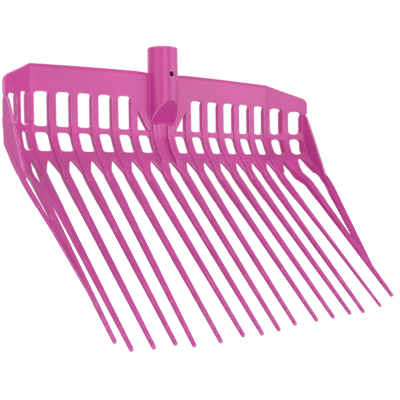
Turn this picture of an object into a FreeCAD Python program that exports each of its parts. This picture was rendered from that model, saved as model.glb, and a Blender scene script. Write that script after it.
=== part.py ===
import FreeCAD, Part
import math
import os
import re

import Sketcher
from FreeCAD import Placement, Rotation, Vector

# Head of a manure fork: one plastic moulding with a socket for a wooden handle, a slotted back
# that bends forward at its foot, sixteen tapering tines and two wings folded forward.
#
# Frame, in millimetres: the socket's axis is Z, with the middle of its mouth at the origin. The
# back lies in the XZ plane, just behind that axis, and -Y is the side that carries the load.
# The moulding is drawn as a few master shapes, which are then parted into the regions that
# have a name of their own. The left half is the mirror image of the right half.

SIZES = {
    # Spacing across the fork
    "pitch": 25.0,              # from one tine of the back to the next
    "back_tines": 14,           # tines of the back, from fold to fold
    "rib_width": 7.5,
    "rib_depth": 6.5,
    "plate_thickness": 3.2,
    # Heights down the back, from its top edge
    "socket_rise": 28.0,        # mouth of the socket above the top edge
    "band_height": 27.3,
    "upper_window_height": 35.4,
    "mid_rail_height": 5.6,
    "lower_window_height": 17.4,
    "lower_rail_height": 10.8,
    "root_height": 13.5,        # over which the gap between two tines opens
    "window_radius": 3.0,
    "bevel_height": 3.6,        # slope along the top edge
    "bevel_depth": 1.4,
    "ramp_height": 6.0,         # over which the ribs run out into the band
    "panel_setback": 1.4,       # front of the back, behind the socket's axis
    # Bend at the foot of the back
    "upright_height": 57.0,     # top edge to the start of the bend
    "bend_radius": 87.5,        # of the front faces
    "bend_turn": 44.0,
    "rail_recess": 1.6,
    "web_recess": 1.4,          # between the two ribs below the socket
    "web_width": 11.0,
    "spine_rib_width": 9.0,     # ribs that carry on from the socket round the bend
    "spine_rib_rise": 2.9,
    "spine_rib_run": 46.0,      # from the socket's foot down
    "spine_rib_ramp": 4.0,
    # Tines
    "tine_length": 201.0,
    "tip_width": 3.4,
    "tip_depth": 3.2,
    "tine_chamfer": 1.2,
    "tip_chamfer": 0.9,
    "nose_length": 1.8,         # blunt end of a tine
    # Handle socket
    "socket_radius": 16.7,
    "bore_radius": 14.2,
    "bore_depth": 56.0,
    "socket_apex": 58.5,        # mouth to the top of the sloping front
    "socket_foot": 83.0,        # mouth to the end of the socket
    "rim_chamfer": 0.8,
    "screw_radius": 3.1,
    "screw_drop": 30.0,
    # Gussets beside the socket
    "gusset_window_height": 16.1,
    "gusset_window_width": 12.4,
    # Wings
    "wing_turn": 35.0,
    "wing_width": 52.1,
    "wing_slope": 19.3,         # of the wing's top edge
    "wing_corner_radius": 10.5,
    "wing_window_radius": 4.0,
    "wing_tine_place": 23.7,    # fold to the middle of the wing's tine, along the wing
    "wing_tine_shift": 1.1,     # how far the tine then stands out and forward of its rib
    "wing_tine_rise": 4.4,
    "wing_tine_lean": 12.0,
    "side_width": 4.8,          # strip along the wing's outer edge
    "edge_inset": 3.0,          # the strip's outer face, inside the wing's top corner
    "notch_drop": 34.5,         # top edge of the back to the step between the two
    "notch_height": 3.0,
    "inner_window_drop": 1.5,   # how far the wing's windows start below those of the back
    "outer_window_drop": 5.7,
    "gap_radius": 4.0,          # round top of the outer gap
    # Fin that bridges the bend at the wing's outer edge, flush with the strip's outer face
    "fin_thickness": 2.8,
    "fin_step": 3.0,            # height of the fin just below its top
    "fin_ramp": 3.0,
    "fin_run": 24.0,            # how far it reaches down beside the tines
    # Cuts run past the faces that they cut by this much
    "overrun": 5.0,
}

# Places worked out from the sizes. Z counts up from the socket's mouth.
PLACES = {
    "fold": "(back_tines - 1) / 2 * pitch",
    "half_panel": "fold + rib_width / 2",
    "half_window": "(pitch - rib_width) / 2",
    "spine_edge": "(pitch + rib_width) / 2",
    "top": "-socket_rise",
    "band_foot": "top - band_height",
    "mid_rail_top": "band_foot - upper_window_height",
    "mid_rail_foot": "mid_rail_top - mid_rail_height",
    "lower_rail_top": "mid_rail_foot - lower_window_height",
    "lower_rail_foot": "lower_rail_top - lower_rail_height",
    "root_foot": "lower_rail_foot - root_height",
    "bend_top": "top - upright_height",
    "axis_setback": "panel_setback - bend_radius",
    "back_radius": "bend_radius + rib_depth",
    "tine_y": "axis_setback + bend_radius * cos(bend_turn)",
    "tine_z": "bend_top - bend_radius * sin(bend_turn)",
    "cut_foot": "bend_top - back_radius * sin(bend_turn) - overrun",
    "reach": "2 * (bend_radius + wing_width)",
    "wing_end": "fold + wing_width * cos(wing_turn)",
    "wing_rib_inner": "fold + (wing_tine_place - rib_width / 2) * cos(wing_turn)",
    "wing_rib_outer": "fold + (wing_tine_place + rib_width / 2) * cos(wing_turn)",
    "edge_place": "wing_width - edge_inset",
    "edge_end": "fold + edge_place * cos(wing_turn)",
    "edge_rise": "edge_place * sin(wing_turn)",
    "side_inner": "fold + (edge_place - side_width) * cos(wing_turn)",
    "wing_plate_foot": "band_foot - outer_window_drop - wing_window_radius",
    "wing_seam_foot": "mid_rail_top + wing_window_radius",
    "wing_heel_top": "mid_rail_foot - wing_window_radius",
    "wing_draw_depth": "rib_depth / cos(wing_turn)",
    "corner_run": "wing_corner_radius * tan((90 - wing_slope) / 2)",
    "corner_z": "top - wing_width * tan(wing_slope)",
    "strip_span": "wing_width - wing_tine_place",
}

# Tines of the back from left to right: how far each tip has strayed sideways, as a share of the
# pitch, and how long each tine is, as a share of tine_length. Moulded tines are never quite even.
SWAY_SHARES = [0.03, -0.08, -0.15, -0.42, -0.20, -0.05, -0.12,
               -0.19, -0.19, 0.07, 0.09, 0.19, 0.05, 0.49]
LENGTH_SHARES = [0.98, 0.99, 0.99, 1.015, 1.02, 1.01, 1.02,
                 1.015, 1.00, 1.00, 1.00, 0.995, 1.00, 0.99]

# The wing's tine is a little shorter than those of the back.
WING_LENGTH_SHARE = 0.99

# Where the wing's tine has come clear of its rib, as a share of its length.
WING_ROOT_SHARE = 0.12

# Strip beside the wing's tine: share of the tine's length, of the way from the tine's middle to
# the wing's edge, and of side_width. Its depth: share of the tine's length, and of the ribs'.
STRIP_SHARES = [(0.0, 0.925, 1.0), (0.075, 0.955, 1.0), (0.125, 0.965, 1.0), (0.175, 0.945, 1.0),
                (0.235, 0.873, 1.0), (0.46, 0.588, 1.0), (0.77, 0.18, 0.4)]
STRIP_DEPTH_SHARES = [(0.0, 1.0), (0.15, 0.86), (0.4, 0.45), (0.77, 0.28)]

doc = FreeCAD.newDocument("manure_fork")
nodes = {}


def full(words):
    """Adds the name of its sheet to each size and place in an expression."""
    def with_sheet(found):
        word = found.group(0)
        if word in SIZES:
            return "sizes." + word
        return "places." + word if word in PLACES else word
    return re.sub(r"[a-z_]+", with_sheet, words)


def fill_sheet(name, cells):
    """Writes one row per value: its name, and the value under that alias."""
    sheet = doc.addObject("Spreadsheet::Sheet", name)
    for row, (alias, text) in enumerate(cells.items(), 1):
        sheet.set(f"A{row}", alias)
        sheet.set(f"B{row}", text)
        sheet.setAlias(f"B{row}", alias)
    doc.recompute()
    return sheet


sizes = fill_sheet("sizes", {alias: str(value) for alias, value in SIZES.items()})
places = fill_sheet("places", {alias: "=" + full(words) for alias, words in PLACES.items()})


def value(words):
    """What an expression comes to with the sheet's present sizes."""
    result = sizes.evalExpression(full(words))
    return float(getattr(result, "Value", result))


def bind(thing, prop, words):
    thing.setExpression(prop, full(words))


def new_body(name):
    return doc.addObject("PartDesign::Body", name)


def new_sketch(body, name, role, x="0", y="0", z="0"):
    """Sketch on one of the body's own planes, moved by x, y and z in the sketch's own frame."""
    sketch = body.newObject("Sketcher::SketchObject", name)
    plane = [p for p in body.Origin.OriginFeatures if p.Role == role][0]
    sketch.AttachmentSupport = [(plane, "")]
    sketch.MapMode = "FlatFace"
    for letter, words in zip("xyz", (x, y, z)):
        if words != "0":
            bind(sketch, f"AttachmentOffset.Base.{letter}", words)
    return sketch


def arc_between(start, end, radius, left):
    """Short arc from start to end, whose centre lies left or right of the way."""
    chord = end - start
    height = math.sqrt(max(radius ** 2 - (chord.Length / 2) ** 2, 0))
    side = Vector(-chord.y, chord.x, 0).normalize() * (height if left else -height)
    centre = (start + end) / 2 + side
    first, last = (start, end) if left else (end, start)
    angles = [math.atan2(p.y - centre.y, p.x - centre.x) for p in (first, last)]
    return Part.ArcOfCircle(Part.Circle(centre, Vector(0, 0, 1), radius), *angles)


def draw(sketch, corners):
    """Closed outline. A corner is (x, y), or (x, y, radius, left) where an arc arrives at it."""
    points = [Vector(value(c[0]), value(c[1]), 0) for c in corners]
    first = sketch.GeometryCount
    for i, corner in enumerate(corners):
        if len(corner) == 2:
            sketch.addGeometry(Part.LineSegment(points[i - 1], points[i]))
        else:
            arc = arc_between(points[i - 1], points[i], value(corner[2]), corner[3])
            sketch.addGeometry(arc)
    for i, corner in enumerate(corners):
        following = corners[(i + 1) % len(corners)]
        arrive = 1 if len(corner) == 4 and not corner[3] else 2
        leave = 2 if len(following) == 4 and not following[3] else 1
        edge = first + i
        after = first + (i + 1) % len(corners)
        sketch.addConstraint(Sketcher.Constraint("Coincident", edge, arrive, after, leave))
        for kind, words, now in (("DistanceX", corner[0], points[i].x),
                                 ("DistanceY", corner[1], points[i].y)):
            number = sketch.addConstraint(Sketcher.Constraint(kind, -1, 1, edge, arrive, now))
            bind(sketch, f"Constraints[{number}]", words)
        if len(corner) == 4:
            number = sketch.addConstraint(
                Sketcher.Constraint("Radius", edge, value(corner[2])))
            bind(sketch, f"Constraints[{number}]", corner[2])


def draw_circle(sketch, y, radius):
    """Circle on the sketch's vertical axis."""
    centre = Vector(0, value(y), 0)
    circle = sketch.addGeometry(Part.Circle(centre, Vector(0, 0, 1), value(radius)))
    sketch.addConstraint(Sketcher.Constraint("PointOnObject", circle, 3, -2))
    for kind, places_of, words, now in (("DistanceY", (-1, 1, circle, 3), y, centre.y),
                                        ("Radius", (circle,), radius, value(radius))):
        number = sketch.addConstraint(Sketcher.Constraint(kind, *places_of, now))
        bind(sketch, f"Constraints[{number}]", words)


def window(left, right, top, foot, radius="window_radius"):
    """Window whose corners are each cut by two chords of a quarter circle."""
    near = f"{radius} * (1 - cos(45))"
    quarter = [(radius, "0"), (near, near), ("0", radius)]
    outline = []
    for side, level, x_sign, z_sign, turned in ((left, foot, "+", "+", False),
                                                (left, top, "+", "-", True),
                                                (right, top, "-", "-", False),
                                                (right, foot, "-", "+", True)):
        corner = [(f"{side} {x_sign} {across}", f"{level} {z_sign} {up}")
                  for across, up in quarter]
        outline += corner[::-1] if turned else corner
    return outline


def back_window(x, top, foot):
    """Window between two ribs of the back, x being its middle."""
    return window(f"{x} - half_window", f"{x} + half_window", top, foot)


def extrude(body, kind, name, sketch, length, side="One side", back=False):
    """Pad or Pocket of a sketch. Back turns it round to the other side of the sketch."""
    feature = body.newObject("PartDesign::" + kind, name)
    feature.Profile = sketch
    feature.SideType = side
    feature.Reversed = back
    bind(feature, "Length", length)
    doc.recompute()
    return feature


def repeat(body, name, feature, sketch, count):
    """Repeats a feature along X, one pitch apart."""
    pattern = body.newObject("PartDesign::LinearPattern", name)
    pattern.Originals = [feature]
    pattern.Direction = (sketch, ["H_Axis"])
    pattern.Mode = "Spacing"
    bind(pattern, "Offset", "pitch")
    bind(pattern, "Occurrences", count)
    body.Tip = pattern
    doc.recompute()
    return pattern


def combine(kind, name, first, second):
    """Part boolean of two objects."""
    result = doc.addObject("Part::" + kind, name)
    result.Base = first
    result.Tool = second
    return result


def mirrored(name, source):
    """Mirror image of a right-hand shape."""
    image = doc.addObject("Part::Mirroring", name)
    image.Source = source
    image.Normal = Vector(1, 0, 0)
    return image


def region(name, master, left, right, foot, top):
    """The part of a master shape between two upright and two level planes."""
    block = doc.addObject("Part::Box", name + "_region")
    bind(block, "Length", f"{right} - ({left})")
    bind(block, "Width", "2 * reach")
    bind(block, "Height", f"{top} - ({foot})")
    bind(block, "Placement.Base.x", left)
    bind(block, "Placement.Base.y", "-reach")
    bind(block, "Placement.Base.z", foot)
    return combine("Common", name + "_piece", master, block)


def keep(label, shape):
    """Makes an object one of the fork's named pieces."""
    shape.Label = label
    nodes[label] = shape


def keep_pair(label, shape, number=""):
    keep(f"{label}_right{number}", shape)
    keep(f"{label}_left{number}", mirrored(f"{label}_left{number}", shape))


# Back of the fork


def side_profile(sketch):
    """Outline of the back seen from its side: top edge, band, ribs and bend."""
    draw(sketch, [
        ("panel_setback + bevel_depth", "top"),
        ("panel_setback", "top - bevel_height"),
        ("panel_setback", "bend_top"),
        ("tine_y", "tine_z", "bend_radius", False),
        ("axis_setback + back_radius * cos(bend_turn)",
         "bend_top - back_radius * sin(bend_turn)"),
        ("panel_setback + rib_depth", "bend_top", "back_radius", True),
        ("panel_setback + rib_depth", "band_foot - ramp_height"),
        ("panel_setback + plate_thickness", "band_foot"),
        ("panel_setback + plate_thickness", "top"),
    ])


def panel_blank(name):
    """The right half of the back, before anything is cut out of it."""
    body = new_body(name)
    sketch = new_sketch(body, name + "_profile", "YZ_Plane")
    side_profile(sketch)
    extrude(body, "Pad", name + "_pad", sketch, "half_panel")
    return body


def recess_outline(start, depth):
    """Side view of what a recess takes off the front, from a level down to the tines."""
    offset = f"(bend_radius + {depth})"
    start_y = f"axis_setback + sqrt({offset} ^ 2 - (bend_top - ({start})) ^ 2)"
    return [
        ("panel_setback - overrun", start),
        (start_y, start),
        (f"axis_setback + {offset} * cos(bend_turn)",
         f"bend_top - {offset} * sin(bend_turn)", offset, False),
        ("axis_setback + (bend_radius - overrun) * cos(bend_turn)",
         "bend_top - (bend_radius - overrun) * sin(bend_turn)"),
    ]


def spine_rib_outline():
    """Side view of a rib that stands proud of the bend below the socket, its ends sloping off."""
    proud, buried = "(bend_radius - spine_rib_rise)", "(bend_radius + rib_depth / 2)"
    start, foot = "-socket_foot", "(-socket_foot - spine_rib_run)"

    def on_bend(radius, level):
        return f"axis_setback + sqrt({radius} ^ 2 - (bend_top - ({level})) ^ 2)"

    return [("panel_setback + rib_depth / 2", start), ("panel_setback", start),
            ("panel_setback - spine_rib_rise", "bend_top"),
            (on_bend(proud, f"{foot} + spine_rib_ramp"), f"{foot} + spine_rib_ramp", proud, False),
            (on_bend("bend_radius", foot), foot),
            (on_bend(buried, foot), foot),
            ("panel_setback + rib_depth / 2", "bend_top", buried, True)]


def build_panel():
    """The right half of the back with its windows, gaps and recessed rails."""
    body = panel_blank("panel")
    upper = new_sketch(body, "upper_window", "XZ_Plane")
    draw(upper, back_window("2 * pitch", "band_foot", "mid_rail_top"))
    cut = extrude(body, "Pocket", "upper_window_cut", upper, "reach", "Symmetric")
    repeat(body, "upper_windows", cut, upper, "back_tines / 2 - 2")
    lower = new_sketch(body, "lower_window", "XZ_Plane")
    draw(lower, back_window("pitch", "mid_rail_foot", "lower_rail_top"))
    cut = extrude(body, "Pocket", "lower_window_cut", lower, "reach", "Symmetric")
    repeat(body, "lower_windows", cut, lower, "back_tines / 2 - 1")
    gusset = new_sketch(body, "gusset_window", "XZ_Plane")
    edge = "pitch + half_window"
    draw(gusset, [(f"{edge} - gusset_window_width", "mid_rail_top"), (edge, "mid_rail_top"),
                  (edge, "mid_rail_top + gusset_window_height")])
    extrude(body, "Pocket", "gusset_window_cut", gusset, "reach", "Symmetric")
    gap = new_sketch(body, "tine_gap", "XZ_Plane")
    draw(gap, [("0", "lower_rail_foot"), ("-half_window", "root_foot"),
               ("-half_window", "cut_foot"), ("half_window", "cut_foot"),
               ("half_window", "root_foot")])
    cut = extrude(body, "Pocket", "tine_gap_cut", gap, "reach", "Symmetric")
    repeat(body, "tine_gaps", cut, gap, "back_tines / 2")
    rails = new_sketch(body, "rail_recess", "YZ_Plane", z="pitch")
    draw(rails, recess_outline("mid_rail_top", "rail_recess"))
    cut = extrude(body, "Pocket", "rail_recess_cut", rails, "2 * half_window", "Symmetric")
    repeat(body, "rail_recesses", cut, lower, "back_tines / 2 - 1")
    web = new_sketch(body, "web_recess", "YZ_Plane")
    draw(web, recess_outline("-socket_foot", "web_recess"))
    extrude(body, "Pocket", "web_recess_cut", web, "web_width", "Symmetric")
    ribs = new_sketch(body, "spine_rib", "YZ_Plane", z="web_width / 2")
    draw(ribs, spine_rib_outline())
    extrude(body, "Pad", "spine_rib_pad", ribs, "spine_rib_width")
    return body


# Handle socket


def outer_rim(shape):
    """Name of the socket's outermost edge at the level of its mouth."""
    rims = [(edge.BoundBox.XLength, f"Edge{i}") for i, edge in enumerate(shape.Edges, 1)
            if abs(edge.BoundBox.ZMax) + abs(edge.BoundBox.ZMin) < Part.Precision.confusion()]
    return max(rims)[1]


def socket_body(name, hollow):
    """Round socket whose lower end slopes into the back, in front and behind."""
    body = new_body(name)
    outer = new_sketch(body, name + "_outer", "XY_Plane")
    draw_circle(outer, "0", "socket_radius")
    extrude(body, "Pad", name + "_pad", outer, "socket_foot", back=True)
    slopes = new_sketch(body, name + "_slopes", "YZ_Plane")
    below = "-socket_foot - overrun"
    draw(slopes, [("-socket_radius", "-socket_apex"),
                  ("-socket_radius - overrun", "-socket_apex"),
                  ("-socket_radius - overrun", below), ("panel_setback", below),
                  ("panel_setback", "-socket_foot")])
    rear = "panel_setback + rib_depth"
    draw(slopes, [("socket_radius", "-socket_apex"), (rear, "-socket_foot"), (rear, below),
                  ("socket_radius + overrun", below), ("socket_radius + overrun", "-socket_apex")])
    extrude(body, "Pocket", name + "_slope_cut", slopes, "3 * socket_radius", "Symmetric")
    if hollow:
        bore = new_sketch(body, name + "_bore", "XY_Plane")
        draw_circle(bore, "0", "bore_radius")
        extrude(body, "Pocket", name + "_bore_cut", bore, "bore_depth")
        screw = new_sketch(body, name + "_screw", "XZ_Plane")
        draw_circle(screw, "-screw_drop", "screw_radius")
        hole = extrude(body, "Pocket", name + "_screw_cut", screw, "socket_radius + overrun",
                       back=True)
        rim = body.newObject("PartDesign::Chamfer", name + "_rim")
        rim.Base = (hole, [outer_rim(hole.Shape)])
        bind(rim, "Size", "rim_chamfer")
    return body


# Wings, which turn forward at the folds


def strip_place(share):
    """How far along the wing the strip's outer edge lies."""
    return f"(wing_tine_place + strip_span * {share})"


def strip_edge(inset):
    """X of the strip where it leaves the wing, or of what lies inset from there."""
    return f"fold + ({strip_place(STRIP_SHARES[0][1])} - {inset}) * cos(wing_turn)"


def on_wing(w, depth="0"):
    """X, and distance from the bend's axis, of a place w along the wing and depth behind it."""
    return (f"fold + ({w}) * cos(wing_turn) + ({depth}) * sin(wing_turn)",
            f"bend_radius - ({w}) * sin(wing_turn) + ({depth}) * cos(wing_turn)")


def place_on_fold(body):
    """Turns a body so that its XZ plane is the front of the right wing."""
    body.Placement = Placement(Vector(), Rotation(Vector(0, 0, 1), 0))
    body.Placement.Rotation.Axis = Vector(0, 0, 1)
    bind(body, "Placement.Base.x", "fold")
    bind(body, "Placement.Base.y", "panel_setback")
    bind(body, "Placement.Rotation.Angle", "-wing_turn")


def build_wing():
    """The right wing, with its windows and gaps, down to the start of the tines."""
    upright = new_body("wing_upright")
    outline = new_sketch(upright, "wing_outline", "XZ_Plane")
    draw(outline, [("0", "bend_top"), ("wing_width", "bend_top"),
                   ("wing_width", "corner_z - corner_run"),
                   ("wing_width - corner_run * cos(wing_slope)",
                    "corner_z + corner_run * sin(wing_slope)", "wing_corner_radius", True),
                   ("0", "top")])
    extrude(upright, "Pad", "wing_pad", outline, "rib_depth", back=True)
    thin = new_sketch(upright, "wing_thin", "XZ_Plane", z="-plate_thickness")
    draw(thin, [("-overrun", "wing_plate_foot"), ("wing_width + overrun", "wing_plate_foot"),
                ("wing_width + overrun", "top + overrun"), ("-overrun", "top + overrun")])
    extrude(upright, "Pocket", "wing_thin_cut", thin, "rib_depth")
    place_on_fold(upright)
    bend = new_body("wing_bend")
    section = new_sketch(bend, "wing_section", "XY_Plane", y="axis_setback", z="bend_top")
    draw(section, [on_wing("0"), on_wing("wing_width"), on_wing("wing_width", "rib_depth"),
                   on_wing("0", "rib_depth")])
    turn = bend.newObject("PartDesign::Revolution", "wing_turned")
    turn.Profile = section
    turn.ReferenceAxis = (section, ["H_Axis"])
    turn.Reversed = True
    bind(turn, "Angle", "bend_turn")
    blank = combine("Fuse", "wing_blank", upright, bend)
    windows = new_body("wing_windows")
    cuts = new_sketch(windows, "wing_cuts", "XZ_Plane")
    inner_middle = "(half_panel + wing_rib_inner) / 2"
    outer_middle = "(wing_rib_outer + side_inner) / 2"
    for left, right, drop in (("half_panel", "wing_rib_inner", "inner_window_drop"),
                              ("wing_rib_outer", "side_inner", "outer_window_drop")):
        for top, foot in ((f"band_foot - {drop}", "mid_rail_top"),
                          ("mid_rail_foot", "lower_rail_top")):
            draw(cuts, window(left, right, top, foot, "wing_window_radius"))
    draw(cuts, [(inner_middle, "lower_rail_foot"), ("half_panel", "root_foot"),
                ("half_panel", "cut_foot"), ("wing_rib_inner", "cut_foot"),
                ("wing_rib_inner", "root_foot")])
    draw(cuts, [(f"{outer_middle} - gap_radius", "lower_rail_foot", "gap_radius", True),
                ("wing_rib_outer", "root_foot"), ("wing_rib_outer", "cut_foot"),
                (strip_edge("side_width"), "cut_foot"), ("side_inner", "root_foot"),
                (f"{outer_middle} + gap_radius", "lower_rail_foot"),
                (outer_middle, "lower_rail_foot + gap_radius", "gap_radius", True)])
    past = "wing_end + rib_depth + overrun"
    draw(cuts, [("wing_end", "top - notch_drop"), ("edge_end", "top - notch_drop - notch_height"),
                ("edge_end", "lower_rail_top"), (strip_edge("0"), "cut_foot"),
                (past, "cut_foot"), (past, "top"), ("wing_end", "top")])
    extrude(windows, "Pad", "wing_window_pad", cuts, "reach", "Symmetric")
    cut = combine("Cut", "wing_cut", blank, windows)
    return combine("Cut", "wing", cut, panel_blank("fold_blank"))


# Tines and side strips, drawn in a frame whose Z runs along them and whose Y faces the load


def place_on_tines(body):
    body.Placement = Placement(Vector(), Rotation(Vector(1, 0, 0), 1))
    bind(body, "Placement.Base.y", "tine_y")
    bind(body, "Placement.Base.z", "tine_z")
    bind(body, "Placement.Rotation.Angle", "180 - bend_turn")


def tine_section(x, rise, width, depth, chamfer, slant):
    """Section of a tine with its corners taken off, sheared by slant where it is on a wing."""
    half, back = f"{width} / 2", f"{rise} - {depth}"
    flat = [(f"-{half} + {chamfer}", rise), (f"-{half}", f"{rise} - {chamfer}"),
            (f"-{half}", f"{back} + {chamfer}"), (f"-{half} + {chamfer}", back),
            (f"{half} - {chamfer}", back), (f"{half}", f"{back} + {chamfer}"),
            (f"{half}", f"{rise} - {chamfer}"), (f"{half} - {chamfer}", rise)]
    return [(f"{x} + {across}", f"{up} + ({across}) * tan({slant})") for across, up in flat]


def build_tine(name, x, sway, length):
    """Tapering tine with a blunt nose. x is its place, sway how far its tip has strayed."""
    body = new_body(name)
    front = new_sketch(body, name + "_front", "XZ_Plane")
    draw(front, [(f"{x} - rib_width / 2", "0"), (f"{x} + rib_width / 2", "0"),
                 (f"{x} + {sway} + tip_width / 2", length),
                 (f"{x} + {sway} - tip_width / 2", length)])
    extrude(body, "Pad", name + "_pad", front, "2 * (rib_depth + overrun)", "Symmetric")
    side = new_sketch(body, name + "_side", "YZ_Plane")
    past, clear = f"{length} + overrun", "(rib_depth + 2 * overrun)"
    rise = "-(rib_depth - tip_depth) / 2"
    for out, near, tip in (("", "0", rise), ("-", "-rib_depth", f"{rise} - tip_depth")):
        slope = f"(({tip}) - ({near})) / ({length}) * overrun"
        draw(side, [(near, "0"), (f"{tip} + {slope}", past), (f"{out}{clear}", past),
                    (f"{out}{clear}", "0")])
    cut = extrude(body, "Pocket", name + "_side_cut", side, "2 * reach", "Symmetric")
    edges = sorted((-edge.Length, f"Edge{i}") for i, edge in enumerate(cut.Shape.Edges, 1))
    corners = body.newObject("PartDesign::Chamfer", name + "_corners")
    corners.Base = (cut, [edge for _, edge in edges[:4]])
    bind(corners, "Size", "tine_chamfer")
    doc.recompute()
    nose = new_sketch(body, name + "_nose", "YZ_Plane")
    for out, level in (("", rise), ("-", f"{rise} - tip_depth")):
        draw(nose, [(f"{level} {out or '+'} tip_chamfer", f"{length} - 2 * nose_length"),
                    (f"{level} {out or '+'} tip_chamfer", past),
                    (f"{level} {'+' if out else '-'} tip_chamfer", past),
                    (f"{level} {'+' if out else '-'} tip_chamfer", length)])
    extrude(body, "Pocket", name + "_nose_cut", nose, "2 * reach", "Symmetric")
    place_on_tines(body)
    return body


def loft_through(body, name, sketches):
    loft = body.newObject("PartDesign::AdditiveLoft", name)
    loft.Profile = sketches[0]
    loft.Sections = sketches[1:]
    loft.Ruled = True
    return loft


def build_wing_tine():
    """The tine of the right wing: it leaves its rib at the wing's slant, then stands forward."""
    body = new_body("wing_tine")
    x, rise = "(wing_rib_inner + wing_rib_outer) / 2", "wing_tine_place * sin(wing_turn)"
    clear = f"{x} + wing_tine_shift"
    middle = f"{rise} - wing_draw_depth / 2 + wing_tine_rise"
    length = f"({WING_LENGTH_SHARE} * tine_length)"
    stations = [
        ("0", x, rise, "(rib_width * cos(wing_turn))", "wing_draw_depth", "tine_chamfer",
         "wing_turn"),
        (f"{WING_ROOT_SHARE} * tine_length", clear, f"{middle} + rib_depth / 2", "rib_width",
         "rib_depth", "tine_chamfer", "wing_tine_lean"),
        (f"{length} - nose_length", clear, f"{middle} + tip_depth / 2", "tip_width", "tip_depth",
         "tip_chamfer", "wing_tine_lean"),
        (length, clear, f"{middle} + tip_depth / 2 - tip_chamfer", "(tip_width / 2)",
         "(tip_depth - 2 * tip_chamfer)", "(tip_chamfer / 2)", "wing_tine_lean")]
    sketches = []
    for number, (z, *section) in enumerate(stations):
        sketch = new_sketch(body, f"wing_tine_section_{number}", "XY_Plane", z=z)
        draw(sketch, tine_section(*section))
        sketches.append(sketch)
    loft_through(body, "wing_tine_loft", sketches)
    place_on_tines(body)
    return body


def build_strip(tine):
    """Strip that runs from the wing's outer edge in to the wing's tine and closes against it."""
    outline = new_body("strip_outline")
    sketch = new_sketch(outline, "strip_edge", "XZ_Plane")
    outer = [(f"fold + {strip_place(w)} * cos(wing_turn)", f"{along} * tine_length")
             for along, w, _ in STRIP_SHARES]
    inner = [(f"fold + ({strip_place(w)} - {wide} * side_width) * cos(wing_turn)",
              f"{along} * tine_length") for along, w, wide in STRIP_SHARES]
    draw(sketch, outer + inner[::-1])
    extrude(outline, "Pad", "strip_pad", sketch, "reach", "Symmetric")
    place_on_tines(outline)
    slab = new_body("strip_slab")
    sketches = []
    for number, (along, share) in enumerate(STRIP_DEPTH_SHARES):
        section = new_sketch(slab, f"strip_section_{number}", "XY_Plane",
                             z=f"{along} * tine_length")
        drop = f"{share} * wing_draw_depth"
        draw(section, [("fold", "0"), ("fold", f"-{drop}"),
                       ("wing_end", f"wing_width * sin(wing_turn) - {drop}"),
                       ("wing_end", "wing_width * sin(wing_turn)")])
        sketches.append(section)
    loft_through(slab, "strip_slab_loft", sketches)
    place_on_tines(slab)
    strip = combine("Common", "strip_sheet", outline, slab)
    return combine("Cut", "strip", strip, tine)


def build_fin(wing, strip):
    """Flat fin with a straight free edge, from below the notch to the strip beside the tine."""
    front = "panel_setback - edge_rise"
    buried = "(bend_radius - edge_rise + rib_depth / 2)"
    fin_top = "top - notch_drop - notch_height"
    foot = [("tine_y - fin_run * sin(bend_turn) - {0} * cos(bend_turn)".format(rise),
             "tine_z - fin_run * cos(bend_turn) + {0} * sin(bend_turn)".format(rise))
            for rise in ("edge_rise", "(edge_rise - rib_depth / 2)")]
    body = new_body("fin")
    side = new_sketch(body, "fin_side", "YZ_Plane", z="edge_end - fin_thickness")
    draw(side, [(f"{front} + rib_depth / 2", fin_top), (front, fin_top),
                (f"{front} - fin_step", f"{fin_top} - fin_ramp"), foot[0], foot[1],
                (f"axis_setback + {buried} * cos(bend_turn)",
                 f"bend_top - {buried} * sin(bend_turn)"),
                (f"{front} + rib_depth / 2", "bend_top", buried, True)])
    extrude(body, "Pad", "fin_pad", side, "fin_thickness")
    return combine("Cut", "fin_off_strip", combine("Cut", "fin_off_wing", body, wing), strip)


# The moulding, parted into its named regions


def part_panel(wing):
    panel = combine("Cut", "right_back", build_panel(), socket_body("socket_envelope", False))
    seam_top, seam_foot = "band_foot - window_radius", "mid_rail_top + window_radius"
    heel_top = "mid_rail_foot - window_radius"
    keep_pair("upper_band", region("band", panel, "0", "half_panel", seam_top, "top + overrun"))
    keep_pair("gusset", region("gusset", panel, "spine_edge", "pitch + half_window",
                               seam_foot, seam_top))
    for number in range(1, int(value("back_tines / 2"))):
        middle = f"({number} + 0.5) * pitch"
        piece = region(f"rib_{number}", panel, f"{middle} - rib_width / 2",
                       f"{middle} + rib_width / 2", seam_foot, seam_top)
        if number == value("back_tines / 2 - 1"):
            corner = region("fold_corner", wing, "fold", "half_panel", "wing_seam_foot",
                            "wing_plate_foot")
            piece = combine("Fuse", "fold_rib", piece, corner)
        keep_pair("rib", piece, f"_{number}")
    keep_pair("mid_rail", region("mid_rail", panel, "spine_edge", "half_panel",
                                 heel_top, seam_foot))
    keep_pair("heel", region("heel", panel, "0", "half_panel", "cut_foot", heel_top))
    half = region("spine", panel, "0", "spine_edge", heel_top, seam_top)
    keep("socket_spine", combine("Fuse", "socket_spine", half, mirrored("spine_left", half)))
    keep("handle_socket", socket_body("socket", True))


def part_wing(wing):
    keep_pair("wing_plate", region("plate", wing, "fold", "wing_end + overrun",
                                   "wing_plate_foot", "top + overrun"))
    keep_pair("wing_rib", region("wing_rib", wing, "wing_rib_inner", "wing_rib_outer",
                                 "wing_seam_foot", "wing_plate_foot"))
    keep_pair("wing_edge", region("wing_edge", wing, "side_inner", "wing_end + overrun",
                                  "wing_seam_foot", "wing_plate_foot"))
    keep_pair("wing_rail", region("wing_rail", wing, "fold", "wing_end + overrun",
                                  "wing_heel_top", "wing_seam_foot"))
    keep_pair("wing_heel", region("wing_heel", wing, "fold", "wing_end + overrun",
                                  "cut_foot", "wing_heel_top"))
    tine = build_wing_tine()
    keep_pair("wing_tine", tine)
    strip = build_strip(tine)
    keep_pair("side_strip", strip)
    keep_pair("side_fin", build_fin(wing, strip))


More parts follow.
